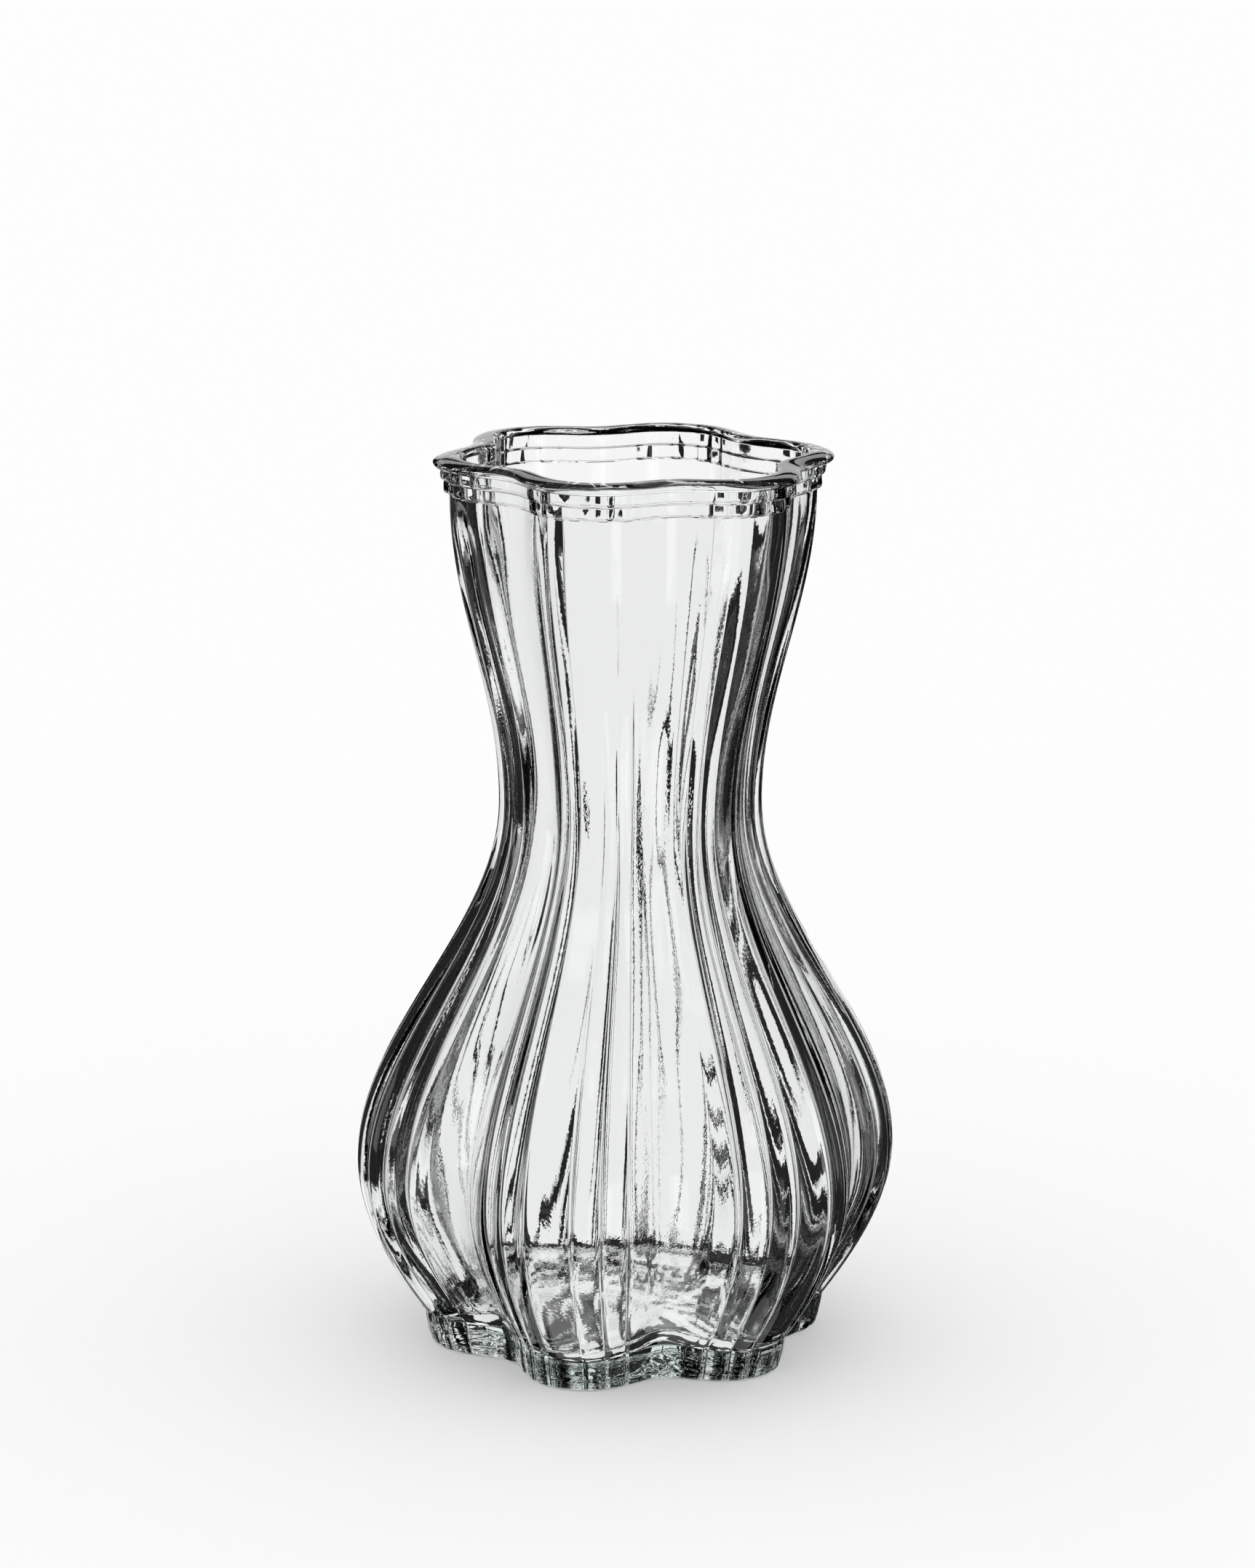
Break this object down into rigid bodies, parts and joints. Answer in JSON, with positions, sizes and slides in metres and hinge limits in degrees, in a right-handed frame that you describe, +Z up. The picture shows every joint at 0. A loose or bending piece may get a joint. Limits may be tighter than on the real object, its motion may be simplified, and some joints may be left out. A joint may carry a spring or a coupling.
{
  "type": "glass flower vase",
  "caption": "Clear reeded glass vase: lobed plan, round bulb on a solid foot, drawn-in waist, flared neck and out-turned lip. Stands on a table and holds cut flowers in water.",
  "frame": {"origin": "on the table, at the centre of the foot", "axes": "+Z up along the axis of the vase, -Y towards the crest of a lobe"},
  "size_m": [0.1116, 0.1218, 0.2],
  "materials": {
    "clear_glass": "clear moulded glass, polished, slightly wavy, with a faint grey-green in thick places"
  },
  "bodies": {
    "root": {"lip": "clear_glass", "upper_collar": "clear_glass", "lower_collar": "clear_glass", "neck": "clear_glass", "waist": "clear_glass", "shoulder": "clear_glass", "upper_bulb": "clear_glass", "lower_bulb": "clear_glass", "heel": "clear_glass", "foot": "clear_glass"}
  },
  "joints": []
}
